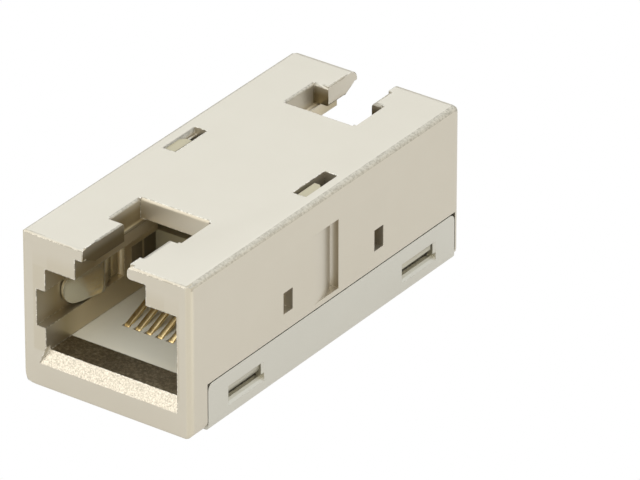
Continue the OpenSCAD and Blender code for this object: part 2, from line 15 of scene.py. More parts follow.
import bpy
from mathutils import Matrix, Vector


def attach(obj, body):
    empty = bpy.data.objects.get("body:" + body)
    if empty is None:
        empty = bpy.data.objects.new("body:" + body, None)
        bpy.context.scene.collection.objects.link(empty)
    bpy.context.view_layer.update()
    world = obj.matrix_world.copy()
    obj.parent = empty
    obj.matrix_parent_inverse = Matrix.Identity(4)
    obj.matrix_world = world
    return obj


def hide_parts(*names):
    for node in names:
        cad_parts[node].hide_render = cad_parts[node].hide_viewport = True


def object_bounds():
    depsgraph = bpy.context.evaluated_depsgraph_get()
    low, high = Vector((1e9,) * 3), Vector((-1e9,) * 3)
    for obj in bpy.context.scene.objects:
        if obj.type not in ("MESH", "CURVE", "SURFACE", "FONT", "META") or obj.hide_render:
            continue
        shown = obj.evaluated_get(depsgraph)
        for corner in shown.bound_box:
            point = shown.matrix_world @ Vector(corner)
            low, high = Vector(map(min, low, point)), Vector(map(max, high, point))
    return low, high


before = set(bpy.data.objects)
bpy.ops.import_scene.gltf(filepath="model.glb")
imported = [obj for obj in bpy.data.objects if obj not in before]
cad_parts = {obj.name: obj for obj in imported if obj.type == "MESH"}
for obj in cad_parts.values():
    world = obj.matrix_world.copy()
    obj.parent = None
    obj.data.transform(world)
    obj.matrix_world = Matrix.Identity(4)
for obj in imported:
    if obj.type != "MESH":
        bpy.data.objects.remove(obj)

LOG = logging.getLogger("coupler")
MM = 0.001
CAD_LOW, CAD_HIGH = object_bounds()
CAD_MIDDLE = (CAD_LOW + CAD_HIGH) / 2

# The middle between both sockets' stops, a socket's shift to one side, and the contacts' pitch
MIDDLE_Y = 0.63 * MM
SOCKET_SHIFT = 0.45 * MM
CONTACT_PITCH = 1.016 * MM
CONTACT_COUNT = 8

# The middle of a noise's range
NOISE_MIDDLE = 0.5

Triple = tuple[float, float, float]
Colour = Triple


class End(Enum):
    """The two ends of the coupler. The rear one is the front one turned half round."""

    FRONT = "front"
    REAR = "rear"

    @property
    def sign(self) -> float:
        """The sign of this end's places along the part."""
        return -1.0 if self is End.FRONT else 1.0


class Slot(Enum):
    """The record's material slots."""

    HOUSING = "housing_nickel"
    COVER = "cover_nickel"
    BOARD = "board_laminate"
    CARRIER = "carrier_plastic"
    COMB = "comb_plastic"
    CONTACT = "contact_gold"
    SOLDER = "solder_tin"
    SPRING = "spring_nickel"


# ---------------------------------------------------------------- shader tools


@dataclass(frozen=True)
class Wire:
    """An output socket that takes part in sums as a number does."""

    graph: "Graph"
    socket: bpy.types.NodeSocket

    def _math(self, operation: str, *values: "Wire | float") -> "Wire":
        """Adds a Math node.

        Args:
            operation: The Math node's operation.
            values: Its inputs in order.

        Returns:
            The node's result.
        """
        made = self.graph.node("ShaderNodeMath", {"operation": operation}, dict(enumerate(values)))
        return self.graph.wire(made)

    def __add__(self, other: "Wire | float") -> "Wire":
        """Sum."""
        return self._math("ADD", self, other)

    __radd__ = __add__

    def __mul__(self, other: "Wire | float") -> "Wire":
        """Product."""
        return self._math("MULTIPLY", self, other)

    __rmul__ = __mul__

    def __sub__(self, other: "Wire | float") -> "Wire":
        """Difference."""
        return self._math("SUBTRACT", self, other)

    def __rsub__(self, other: float) -> "Wire":
        """Difference from a number."""
        return self._math("SUBTRACT", other, self)

    def __abs__(self) -> "Wire":
        """Size without sign."""
        return self._math("ABSOLUTE", self)

    def most(self, other: "Wire | float") -> "Wire":
        """The larger of two values."""
        return self._math("MAXIMUM", self, other)

    def ping_pong(self, scale: float) -> "Wire":
        """Rises from 0 to the scale and falls back to 0, again and again."""
        return self._math("PINGPONG", self, scale)

    def rise(self, low: float, high: float) -> "Wire":
        """A smooth step.

        Args:
            low: Value at which the result is 0.
            high: Value at which it is 1. It may be the smaller of the two.

        Returns:
            A value from 0 to 1.
        """
        made = self.graph.node(
            "ShaderNodeMapRange",
            {"interpolation_type": "SMOOTHSTEP", "clamp": True},
            {"Value": self, "From Min": low, "From Max": high, "To Min": 0.0, "To Max": 1.0},
        )
        return self.graph.wire(made)

    def inside(self, low: float, high: float, soft: float) -> "Wire":
        """1 between two values and 0 outside, with soft ends.

        Args:
            low: Lower end.
            high: Upper end.
            soft: Width of each soft end.

        Returns:
            A value from 0 to 1.
        """
        return self.rise(low - soft, low + soft) * self.rise(high + soft, high - soft)


class Graph:
    """A material's node tree, with short ways to add to it."""

    BEVEL_SAMPLES = 6
    # How far apart the true and the rounded normal are where an edge starts and where it is full
    EDGE_TURN = (0.004, 0.06)

    def __init__(self, name: str) -> None:
        """Makes an empty material.

        Args:
            name: The material's name.
        """
        self.material = bpy.data.materials.new(name)
        self.material.use_nodes = True
        self.tree = self.material.node_tree
        self.tree.nodes.clear()

    def node(
        self, kind: str, settings: dict | None = None, inputs: dict | None = None
    ) -> bpy.types.Node:
        """Adds a node.

        Args:
            kind: The node's type.
            settings: Properties, which are set first.
            inputs: Values or wires by the socket's name or number.

        Returns:
            The node.
        """
        made = self.tree.nodes.new(kind)
        for name, value in (settings or {}).items():
            setattr(made, name, value)
        for key, value in (inputs or {}).items():
            socket = made.inputs[key]
            if isinstance(value, Wire):
                self.tree.links.new(value.socket, socket)
            elif isinstance(value, tuple) and len(value) == 3 and socket.type == "RGBA":
                socket.default_value = (*value, 1.0)
            else:
                socket.default_value = value
        return made

    def wire(self, made: bpy.types.Node, output: str | int = 0) -> Wire:
        """One of a node's outputs."""
        return Wire(self, made.outputs[output])

    def place(self) -> Wire:
        """Object coordinates."""
        return self.wire(self.node("ShaderNodeTexCoord"), "Object")

    def axes(self) -> tuple[Wire, Wire, Wire]:
        """Object coordinates one by one."""
        parts = self.node("ShaderNodeSeparateXYZ", None, {0: self.place()})
        return self.wire(parts, 0), self.wire(parts, 1), self.wire(parts, 2)

    def facing(self) -> tuple[Wire, Wire, Wire]:
        """The surface's own normal, one axis at a time."""
        geometry = self.node("ShaderNodeNewGeometry")
        parts = self.node("ShaderNodeSeparateXYZ", None, {0: self.wire(geometry, "Normal")})
        return self.wire(parts, 0), self.wire(parts, 1), self.wire(parts, 2)

    def stretched(self, scale: Triple) -> Wire:
        """Object coordinates times a scale of its own along each axis."""
        inputs = {"Vector": self.place(), "Scale": scale}
        return self.wire(self.node("ShaderNodeMapping", {"vector_type": "POINT"}, inputs))

    def noise(self, size: float, detail: float, rough: float, place: Wire | None = None) -> Wire:
        """Smooth noise from 0 to 1.

        Args:
            size: Size of a feature in metres.
            detail: Octaves.
            rough: Strength of the finer octaves.
            place: Coordinates, or None for the object's.

        Returns:
            The noise.
        """
        inputs = {
            "Vector": place or self.place(),
            "Scale": 1.0 / size,
            "Detail": detail,
            "Roughness": rough,
        }
        return self.wire(self.node("ShaderNodeTexNoise", None, inputs), "Fac")

    def grains(self, size: float) -> Wire:
        """Distance to the nearest of many scattered points, in grains."""
        inputs = {"Vector": self.place(), "Scale": 1.0 / size}
        return self.wire(self.node("ShaderNodeTexVoronoi", None, inputs), "Distance")

    def blend(self, amount: Wire | float, first: Wire | Colour, second: Wire | Colour) -> Wire:
        """Mixes two colours.

        Args:
            amount: 0 gives the first and 1 the second.
            first: A colour.
            second: A colour.

        Returns:
            The mixed colour.
        """
        settings = {"data_type": "RGBA", "clamp_factor": True}
        return self.wire(self.node("ShaderNodeMix", settings, {0: amount, 6: first, 7: second}), 2)

    def bump(
        self, height: Wire, depth: float, strength: Wire | float, normal: Wire | None = None
    ) -> Wire:
        """Turns a height into a normal.

        Args:
            height: Height from 0 to 1.
            depth: Height of 1, in metres.
            strength: Share of the effect.
            normal: The normal that it adds to, or None for the surface's own.

        Returns:
            The normal.
        """
        inputs = {"Height": height, "Distance": depth, "Strength": strength}
        if normal is not None:
            inputs["Normal"] = normal
        return self.wire(self.node("ShaderNodeBump", None, inputs))

    def round_edges(self, radius: float) -> Wire:
        """A normal that turns smoothly over every sharp edge."""
        settings = {"samples": self.BEVEL_SAMPLES}
        return self.wire(self.node("ShaderNodeBevel", settings, {"Radius": radius}))

    def edge_amount(self, radius: float) -> Wire:
        """Rises from 0 to 1 toward every sharp edge.

        Args:
            radius: Distance from the edge at which it starts.

        Returns:
            A value from 0 to 1.
        """
        true_normal = self.wire(self.node("ShaderNodeNewGeometry"), "Normal")
        inputs = {0: true_normal, 1: self.round_edges(radius)}
        product = self.node("ShaderNodeVectorMath", {"operation": "DOT_PRODUCT"}, inputs)
        return (1.0 - self.wire(product, "Value")).rise(*self.EDGE_TURN)

    def surface(self, **inputs: "Wire | float | Colour") -> bpy.types.Material:
        """Ends the material in a Principled shader.

        Args:
            inputs: Sockets, named with an underscore for each space.

        Returns:
            The material.
        """
        named = {name.replace("_", " "): value for name, value in inputs.items()}
        shader = self.node("ShaderNodeBsdfPrincipled", None, named)
        self.node("ShaderNodeOutputMaterial", None, {0: self.wire(shader)})
        return self.material


# ---------------------------------------------------------------- finishes


@dataclass(frozen=True)
class Span:
    """A range of a value: 1 inside it and 0 outside, with soft ends."""

    low: float
    high: float
    soft: float

    def mask(self, value: Wire) -> Wire:
        """1 where the value lies in the range."""
        return value.inside(self.low, self.high, self.soft)


@dataclass(frozen=True)
class Ramp:
    """A smooth change of a value, from 0 at its start to 1 at its end."""

    start: float
    end: float

    def mask(self, value: Wire) -> Wire:
        """How far the value has come from the start to the end."""
        return value.rise(self.start, self.end)


def span_mm(low: float, high: float, soft: float = 0.02) -> Span:
    """A range that is given in millimetres."""
    return Span(low * MM, high * MM, soft * MM)


def ramp_mm(start: float, end: float) -> Ramp:
    """A change that is given in millimetres."""
    return Ramp(start * MM, end * MM)


@dataclass(eq=False)
class CastingZones:
    """Where on the castings each state of the plate lies, as masks of one material."""

    graph: Graph

    # The lead-in slopes under both mouths
    sill_lean: Span = Span(0.5, 0.97, 0.02)
    sill_lift: Span = Span(0.2, 0.8, 0.02)
    sill_height: Span = span_mm(2.0, 3.4, 0.05)
    sill_along: Ramp = ramp_mm(15.8, 16.0)

    # The strips of cast floor between a sill and its carrier, where shade is painted
    floor_level: Ramp = Ramp(0.9, 0.97)
    floor_height: Span = span_mm(3.1, 3.4)
    floor_along: Ramp = ramp_mm(14.0, 14.2)
    floor_side: Ramp = ramp_mm(6.9, 6.8)

    # The skirt and its hooks, behind the cover's flanges, where shade is painted
    hook_side: Span = span_mm(6.85, 7.5)
    hook_along: Ramp = ramp_mm(15.9, 15.8)
    hook_height: Span = span_mm(0.9, 3.9)

    # Painted shade that deepens into the scoops and the side windows, and on the scoops' end walls
    recess_shade_depth: Ramp = ramp_mm(7.78, 7.2)
    recess_shade_side: Ramp = ramp_mm(6.4, 6.5)
    recess_shade_along: Ramp = ramp_mm(7.6, 7.4)
    recess_shade_height: Span = span_mm(4.3, 10.4)
    scoop_side: Span = span_mm(6.9, 7.66)
    scoop_height: Span = span_mm(4.4, 10.3)
    scoop_upright: Ramp = Ramp(0.8, 0.95)
    scoop_along: Span = span_mm(1.1, 1.4, 0.05)

    # The sockets' inner walls, the keyways above them and the room beside the keyways: painted
    # brown shade, less of it beside the keyways
    inner_side: Ramp = ramp_mm(6.75, 6.6)
    inner_top: Ramp = ramp_mm(12.0, 10.6)
    inner_floor: Ramp = ramp_mm(3.1, 3.3)
    inner_depth: Ramp = ramp_mm(17.3, 14.7)
    inner_far: Ramp = ramp_mm(15.2, 12.8)
    mouth_share: float = 0.25
    key_height: Ramp = ramp_mm(10.1, 10.3)
    key_along: Ramp = ramp_mm(17.34, 17.2)
    arm_side: Ramp = ramp_mm(5.3, 5.4)
    arm_height: Ramp = ramp_mm(10.3, 10.5)
    arm_share: float = 0.5

    # The front left lip's side, the wall behind it and the rear lips' inner ends, where shade is
    # painted
    lip_across: Span = span_mm(-2.12, -1.9)
    lip_along: Ramp = ramp_mm(-12.2, -12.3)
    lip_wall_across: Span = span_mm(-3.4, -2.74)
    lip_wall_along: Span = span_mm(-12.4, -8.62)
    lip_end_along: Span = span_mm(13.4, 13.62)
    lip_end_side: Ramp = ramp_mm(3.6, 3.4)
    lip_top: Ramp = ramp_mm(13.0, 12.0)
    lip_under: Ramp = ramp_mm(11.2, 11.3)

    # The shallow pocket in each spring's wall, where shade is painted, and the unshaded post across
    # it
    pocket_along: Span = span_mm(3.9, 7.36)
    post_along: Span = span_mm(5.5, 5.76, 0.04)
    pocket_side: Span = span_mm(5.57, 5.9)
    pocket_height: Span = span_mm(5.35, 7.25)

    # The roundings of the long top edges and of the front nose's upright corners, where tones are
    # painted to even their light
    edge_lean: Span = Span(0.09, 0.97, 0.05)
    edge_lift: Span = Span(0.25, 0.994, 0.004)
    edge_height: Ramp = ramp_mm(12.5, 12.6)
    corner_lean: Span = Span(0.15, 0.97, 0.1)
    corner_front: Span = Span(-0.97, -0.15, 0.1)
    corner_along: Ramp = ramp_mm(-16.6, -16.7)

    # The outer rims of the openings, where glints are painted
    rim_height: Ramp = ramp_mm(12.3, 12.6)
    rim_side: Ramp = ramp_mm(7.2, 7.0)

    def __post_init__(self) -> None:
        """Reads the place, the normal and the distances from the middle planes."""
        self.x, self.y, self.z = self.graph.axes()
        self.nx, self.ny, self.nz = self.graph.facing()
        self.side, self.along = abs(self.x), abs(self.y)

    @cached_property
    def sill(self) -> Wire:
        """1 on the lead-in slopes below both mouths."""
        sloped = self.sill_lean.mask(abs(self.ny)) * self.sill_lift.mask(self.nz)
        return sloped * self.sill_height.mask(self.z) * self.sill_along.mask(self.along)

    @cached_property
    def floor(self) -> Wire:
        """1 on the strip of cast floor between each sill and its carrier, where shade is painted.
        """
        flat = self.floor_level.mask(self.nz) * self.floor_height.mask(self.z)
        return flat * self.floor_along.mask(self.along) * self.floor_side.mask(self.side)

    @cached_property
    def hooks(self) -> Wire:
        """1 on the skirt and its hooks, where shade is painted."""
        across = self.hook_side.mask(self.side)
        return across * self.hook_along.mask(self.along) * self.hook_height.mask(self.z)

    @cached_property
    def recess_shade(self) -> Wire:
        """Painted shade that rises with the depth below the sides, in the scoops and side windows.
        """
        depth = self.recess_shade_depth.mask(self.side) * self.recess_shade_side.mask(self.side)
        return depth * self.recess_shade_along.mask(self.along) * self.recess_shade_height.mask(self.z)

    @cached_property
    def scoop_end(self) -> Wire:
        """1 on the upright end of each scoop, where shade is painted."""
        place = self.scoop_side.mask(self.side) * self.scoop_height.mask(self.z)
        return place * self.scoop_upright.mask(abs(self.ny)) * self.scoop_along.mask(self.y)

    @cached_property
    def inner(self) -> Wire:
        """Painted shade: rises from 0 at a mouth to 1 deep in the sockets."""
        height = self.inner_top.mask(self.z) * self.inner_floor.mask(self.z)
        depth = self.inner_depth.mask(self.along) * (1.0 - self.mouth_share) + self.mouth_share
        keyway = self.key_height.mask(self.z) * self.key_along.mask(self.along)
        arm_room = self.arm_side.mask(self.side) * self.arm_height.mask(self.z)
        walls = self.inner_side.mask(self.side) * height * depth.most(keyway)
        return walls * (1.0 - arm_room * self.arm_share)

    @cached_property
    def lips(self) -> Wire:
        """Painted shade: rises from 0 to 1 down the front left lip's side and the rear lips' inner
        ends.
        """
        side = self.lip_across.mask(self.x) * self.lip_along.mask(self.y)
        wall = self.lip_wall_across.mask(self.x) * self.lip_wall_along.mask(self.y)
        ends = self.lip_end_along.mask(self.y) * self.lip_end_side.mask(self.side)
        return side.most(ends).most(wall) * self.lip_top.mask(self.z) * self.lip_under.mask(self.z)

    @cached_property
    def pocket(self) -> Wire:
        """1 in the shallow pocket of each spring's wall, where shade is painted, but for the post.
        """
        place = abs(self.y - MIDDLE_Y)
        length = self.pocket_along.mask(place) * (1.0 - self.post_along.mask(place))
        return length * self.pocket_side.mask(self.side) * self.pocket_height.mask(self.z)

    @cached_property
    def long_edges(self) -> Wire:
        """1 on the rounding along the two long top edges, where shade is painted over the
        highlight.
        """
        turned = self.edge_lean.mask(abs(self.nx)) * self.edge_lift.mask(self.nz)
        return turned * self.edge_height.mask(self.z)

    @cached_property
    def upright_corners(self) -> Wire:
        """1 on the rounding of the front nose's upright corners, where a tone is painted to even
        their light.
        """
        turned = self.corner_lean.mask(abs(self.nx)) * self.corner_front.mask(self.ny)
        return turned * self.corner_along.mask(self.y)

    @cached_property
    def rims(self) -> Wire:
        """1 on the top and inside the sides, where the openings' rims and their painted glints are.
        """
        return self.rim_height.mask(self.z).most(self.rim_side.mask(self.side))


@dataclass(frozen=True)
class CastNickel:
    """Satin nickel plate over a fine-grained die casting.

    Outside it has painted shade in its recesses and painted glints on its rims. Inside the sockets
    shade is painted in as brown, and the sills are as rough as they leave the die.
    """

    name: str
    plate: Colour
    shade: Colour

    # Painted shade inside the sockets: brown walls, lighter further in, and the lips and pockets
    inner: Colour = (0.43, 0.365, 0.235)
    inner_far: Colour = (0.62, 0.54, 0.385)
    # Painted shade on the lips: deep on their sides, dark on their upward faces
    deep: Colour = (0.27, 0.22, 0.13)
    dark: Colour = (0.13, 0.105, 0.06)
    # Painted shade in the spring pockets
    pocket: Colour = (0.27, 0.225, 0.15)

    # The rough sills, and the painted shade on the floor strips behind them
    bright: Colour = (0.74, 0.685, 0.59)
    dull: Colour = (0.44, 0.41, 0.34)
    # Painted shade on the floor strips, speckled with the casting's grain
    cast: Colour = (0.165, 0.13, 0.08)
    cast_bright: Colour = (0.36, 0.31, 0.21)

    # Outside: painted shade, painted glints on the rims, and tones that even the roundings' light
    # Painted shade on the scoops' upright end walls
    scoop: Colour = (0.33, 0.285, 0.21)
    # Painted shade on the hooks behind the cover's flanges
    hook_shade: Colour = (0.46, 0.44, 0.36)
    # Painted shade in the scoops and side windows
    recess_shade_tone: Colour = (0.50, 0.46, 0.38)
    # Painted highlight: the rims sparkle between a dark tone and a bright glint
    rim_glint_dark: Colour = (0.26, 0.235, 0.185)
    rim_glint: Colour = (0.84, 0.81, 0.73)
    # Painted shade, speckled, that dulls the long top edges' highlight
    edge_shade_dark: Colour = (0.40, 0.375, 0.315)
    edge_shade_pale: Colour = (0.54, 0.51, 0.435)
    # Painted tone, a little lighter than the plate, that evens the upright corners' light
    corner: Colour = (0.60, 0.56, 0.465)

    # Sizes of the patterns, and the values between which each one turns over
    grain: float = 0.11 * MM
    patches: float = 3.2 * MM
    speckle: float = 0.13 * MM
    sparks: float = 0.24 * MM
    pits: float = 0.16 * MM
    patch_share: float = 0.5
    grain_share: float = 0.25
    upward: Ramp = Ramp(0.8, 0.95)
    speckle_step: Ramp = Ramp(0.30, 0.68)
    floor_step: Ramp = Ramp(0.40, 0.72)
    rim_step: Ramp = Ramp(0.46, 0.54)
    edge_step: Ramp = Ramp(0.38, 0.6)
    pit_step: Ramp = Ramp(0.05, 0.42)

    # Rims and edges
    rim_width: float = 0.15 * MM
    rim_share: float = 0.9
    rim_inner_loss: float = 0.6
    edge_radius: float = 0.06 * MM

    # Gloss and relief
    metal: float = 0.92
    roughness: float = 0.42
    grain_roughness: float = 0.10
    sill_polish: float = 0.08
    edge_roughness: float = 0.3
    grain_depth: float = 0.004 * MM
    grain_strength: float = 0.55
    pit_depth: float = 0.018 * MM
    pit_share: float = 0.6

    def material(self) -> bpy.types.Material:
        """Builds the finish.

        Returns:
            The material.
        """
        g = Graph(self.name)
        zones = CastingZones(g)
        grain = g.noise(self.grain, detail=4.0, rough=0.6)
        sparks = g.noise(self.sparks, detail=4.0, rough=0.75)
        colour = self.clean_plate(g, grain)
        colour = self.paint_shade(g, zones, colour)
        colour = self.sills_and_floor_shade(g, zones, sparks, colour)
        colour = self.rims_and_edges(g, zones, sparks, colour)
        gloss = self.roughness + (grain - NOISE_MIDDLE) * self.grain_roughness
        gloss = gloss - zones.sill * self.sill_polish
        roundings = zones.long_edges + zones.upright_corners
        return g.surface(
            Base_Color=colour,
            Metallic=self.metal,
            Roughness=gloss + roundings * self.edge_roughness,
            Normal=self.relief(g, zones, grain),
        )

    def clean_plate(self, g: Graph, grain: Wire) -> Wire:
        """The outer plate's colour, with wide soft patches.

        Args:
            g: The material's graph.
            grain: Fine noise.

        Returns:
            The colour.
        """
        patches = g.noise(self.patches, detail=2.0, rough=0.5)
        tone = (patches - NOISE_MIDDLE) * self.patch_share
        tone = tone + (grain - NOISE_MIDDLE) * self.grain_share + NOISE_MIDDLE
        return g.blend(tone, self.shade, self.plate)

    def paint_shade(self, g: Graph, zones: CastingZones, colour: Wire) -> Wire:
        """Paints shade on the socket walls, lips, pockets, hooks, recesses and scoops' end walls.

        Args:
            g: The material's graph.
            zones: The zones of the surface.
            colour: The colour so far.

        Returns:
            The new colour.
        """
        # Painted shade on the socket walls, brown, lighter further in
        far = zones.inner_far.mask(zones.along)
        wall = g.blend(far, self.inner, self.inner_far)
        # Painted shade on the lips, darkest on their upward faces
        shadow = g.blend(self.upward.mask(zones.nz), self.deep, self.dark)
        colour = g.blend(zones.inner, colour, wall)
        colour = g.blend(zones.hooks, colour, self.hook_shade)
        colour = g.blend(zones.recess_shade, colour, self.recess_shade_tone)
        colour = g.blend(zones.lips, colour, shadow)
        colour = g.blend(zones.pocket, colour, self.pocket)
        return g.blend(zones.scoop_end, colour, self.scoop)

    def sills_and_floor_shade(self, g: Graph, zones: CastingZones, sparks: Wire, colour: Wire) -> Wire:
        """Adds the rough sills, and the painted shade on the floor behind them.

        Args:
            g: The material's graph.
            zones: The zones of the surface.
            sparks: Coarse noise.
            colour: The colour so far.

        Returns:
            The new colour.
        """
        speckle = self.speckle_step.mask(g.noise(self.speckle, detail=3.0, rough=0.6))
        sill = g.blend(speckle, self.dull, self.bright)
        # Painted shade: the floor strip is dark, with lighter specks
        floor = g.blend(self.floor_step.mask(sparks), self.cast, self.cast_bright)
        colour = g.blend(zones.sill, colour, sill)
        return g.blend(zones.floor, colour, floor)

    def rims_and_edges(self, g: Graph, zones: CastingZones, sparks: Wire, colour: Wire) -> Wire:
        """Paints glints on the openings' rims, shade on the long top edges and a tone on the
        corners.

        Args:
            g: The material's graph.
            zones: The zones of the surface.
            sparks: Coarse noise.
            colour: The colour so far.

        Returns:
            The new colour.
        """
        # Painted highlight on the rims, held back inside the sockets and on the lips
        glint_share = 1.0 - (zones.inner * self.rim_inner_loss).most(zones.lips)
        rim = g.edge_amount(self.rim_width) * glint_share * zones.rims
        rim_glint_tone = g.blend(self.rim_step.mask(sparks), self.rim_glint_dark, self.rim_glint)
        # Painted shade over the long edges' highlight, speckled
        edge_shade_tone = g.blend(self.edge_step.mask(sparks), self.edge_shade_dark, self.edge_shade_pale)
        colour = g.blend(rim * self.rim_share, colour, rim_glint_tone)
        colour = g.blend(zones.long_edges, colour, edge_shade_tone)
        return g.blend(zones.upright_corners, colour, self.corner)

    def relief(self, g: Graph, zones: CastingZones, grain: Wire) -> Wire:
        """The normal: fine grain all over and pits where the casting is bare.

        Args:
            g: The material's graph.
            zones: The zones of the surface.
            grain: Fine noise.

        Returns:
            The normal.
        """
        fine = g.bump(grain, self.grain_depth, self.grain_strength, g.round_edges(self.edge_radius))
        pits = self.pit_step.mask(g.grains(self.pits))
        height = pits * self.pit_share + grain * (1.0 - self.pit_share)
        bare = zones.sill.most(zones.floor)
        return g.bump(height, self.pit_depth, bare, fine)


@dataclass(frozen=True)
class MouldedPlastic:
    """Light grey moulded plastic with a faint flow pattern, painted brown above a height as shade.

    Shade is also painted in as grey toward the side that lies under the wide lip.
    """

    name: str
    light: Colour
    dark: Colour
    shaded: Colour
    shade_height: float
    shade_rise: float = 0.8 * MM
    # Painted shade: greyer toward the side under the wide lip
    grey: Colour = (0.69, 0.675, 0.58)
    lip_shade_across: Ramp = ramp_mm(-4.2, 0.0)
    lip_shade_along: Span = span_mm(-13.6, -8.0, 0.8)
    flow: float = 1.6 * MM
    flow_stretch: Triple = (1.0, 0.4, 1.0)
    flow_share: float = 0.7
    grit: float = 0.09 * MM
    grit_depth: float = 0.004 * MM
    grit_roughness: float = 0.12
    roughness: float = 0.5
    edge_radius: float = 0.05 * MM

    def material(self) -> bpy.types.Material:
        """Builds the finish.

        Returns:
            The material.
        """
        g = Graph(self.name)
        x, y, z = g.axes()
        flow = g.noise(self.flow, detail=3.0, rough=0.5, place=g.stretched(self.flow_stretch))
        grit = g.noise(self.grit, detail=3.0, rough=0.6)
        tone = flow * self.flow_share + grit * (1.0 - self.flow_share)
        # Painted shade under the wide lip
        grey = self.lip_shade_across.mask(x) * self.lip_shade_along.mask(y)
        # Painted shade above the shade height
        shade_above = z.rise(self.shade_height, self.shade_height + self.shade_rise)
        colour = g.blend(tone, self.dark, self.light)
        colour = g.blend(grey, colour, self.grey)
        edges = g.round_edges(self.edge_radius)
        return g.surface(
            Base_Color=g.blend(shade_above, colour, self.shaded),
            Roughness=self.roughness + (grit - NOISE_MIDDLE) * self.grit_roughness,
            Normal=g.bump(grit, self.grit_depth, strength=0.5, normal=edges),
        )


@dataclass(frozen=True)
class GoldPlate:
    """Gold plate over a drawn strip, with nickel on the tails."""

    name: str
    gold: Colour = (0.90, 0.72, 0.38)
    deep: Colour = (0.66, 0.48, 0.21)
    tail: Colour = (0.66, 0.62, 0.54)
    tail_height: Ramp = ramp_mm(2.30, 2.15)
    lines: float = 0.05 * MM
    line_stretch: Triple = (1.0, 0.06, 0.06)
    line_depth: float = 0.003 * MM
    tarnish: float = 0.8 * MM
    tarnish_step: Ramp = Ramp(0.35, 0.75)
    roughness: float = 0.26
    line_roughness: float = 0.10
    tarnish_roughness: float = 0.08

    def material(self) -> bpy.types.Material:
        """Builds the finish.

        Returns:
            The material.
        """
        g = Graph(self.name)
        _, _, z = g.axes()
        lines = g.noise(self.lines, detail=2.0, rough=0.5, place=g.stretched(self.line_stretch))
        tarnish = g.noise(self.tarnish, detail=3.0, rough=0.6)
        colour = g.blend(self.tarnish_step.mask(tarnish), self.gold, self.deep)
        gloss = self.roughness + lines * self.line_roughness + tarnish * self.tarnish_roughness
        return g.surface(
            Base_Color=g.blend(self.tail_height.mask(z), colour, self.tail),
            Metallic=1.0,
            Roughness=gloss,
            Normal=g.bump(lines, self.line_depth, strength=0.5),
        )


@dataclass(frozen=True)
class RolledNickel:
    """Nickel-plated spring sheet with lines along the rolling direction."""

    name: str
    plate: Colour = (0.66, 0.625, 0.505)
    dull: Colour = (0.52, 0.49, 0.39)
    lines: float = 0.06 * MM
    line_stretch: Triple = (1.0, 0.05, 1.0)
    line_depth: float = 0.003 * MM
    cloud: float = 1.1 * MM
    cloud_share: float = 0.7
    roughness: float = 0.14
    line_roughness: float = 0.08

    def material(self) -> bpy.types.Material:
        """Builds the finish.

        Returns:
            The material.
        """
        g = Graph(self.name)
        lines = g.noise(self.lines, detail=3.0, rough=0.5, place=g.stretched(self.line_stretch))
        cloud = g.noise(self.cloud, detail=2.0, rough=0.5)
        tone = cloud * self.cloud_share + lines * (1.0 - self.cloud_share)
        return g.surface(
            Base_Color=g.blend(tone, self.dull, self.plate),
            Metallic=0.9,
            Roughness=self.roughness + lines * self.line_roughness,
            Normal=g.bump(lines, self.line_depth, strength=0.6),
        )


@dataclass(frozen=True)
class SolderMask:
    """Green solder mask over a woven laminate, with the tracks just showing through."""

    name: str
    mask: Colour = (0.03, 0.13, 0.05)
    track: Colour = (0.07, 0.24, 0.09)
    track_step: Ramp = Ramp(0.30, 0.36)
    track_ends: Ramp = ramp_mm(9.0, 8.7)
    track_share: float = 0.8
    weave: float = 0.35 * MM
    weave_stretch: Triple = (1.0, 0.3, 1.0)
    weave_tint: float = 0.25
    relief_depth: float = 0.02 * MM
    roughness: float = 0.28
    weave_roughness: float = 0.1

    def material(self) -> bpy.types.Material:
        """Builds the finish.

        Returns:
            The material.
        """
        g = Graph(self.name)
        x, y, _ = g.axes()
        weave = g.noise(self.weave, detail=1.0, rough=0.3, place=g.stretched(self.weave_stretch))
        # From 0 midway between two tracks to half a pitch at the middle of each
        phase = ((x - SOCKET_SHIFT) * (1.0 / CONTACT_PITCH)).ping_pong(0.5)
        tracks = self.track_step.mask(phase) * self.track_ends.mask(abs(y))
        colour = g.blend(tracks, self.mask, self.track)
        height = tracks * self.track_share + weave * (1.0 - self.track_share)
        return g.surface(
            Base_Color=g.blend(weave * self.weave_tint, colour, self.track),
            Roughness=self.roughness + weave * self.weave_roughness,
            Coat_Weight=0.3,
            Normal=g.bump(height, self.relief_depth, strength=0.6),
        )


@dataclass(frozen=True)
class SolderFillet:
    """Bright, slightly lumpy solder."""

    name: str
    bright: Colour = (0.74, 0.75, 0.77)
    dull: Colour = (0.50, 0.51, 0.53)
    lumps: float = 0.22 * MM
    lump_depth: float = 0.02 * MM
    roughness: float = 0.2
    lump_roughness: float = 0.2

    def material(self) -> bpy.types.Material:
        """Builds the finish.

        Returns:
            The material.
        """
        g = Graph(self.name)
        lumps = g.noise(self.lumps, detail=3.0, rough=0.5)
        return g.surface(
            Base_Color=g.blend(lumps, self.dull, self.bright),
            Metallic=1.0,
            Roughness=self.roughness + lumps * self.lump_roughness,
            Normal=g.bump(lumps, self.lump_depth, strength=0.7),
        )


# ---------------------------------------------------------------- mesh tools


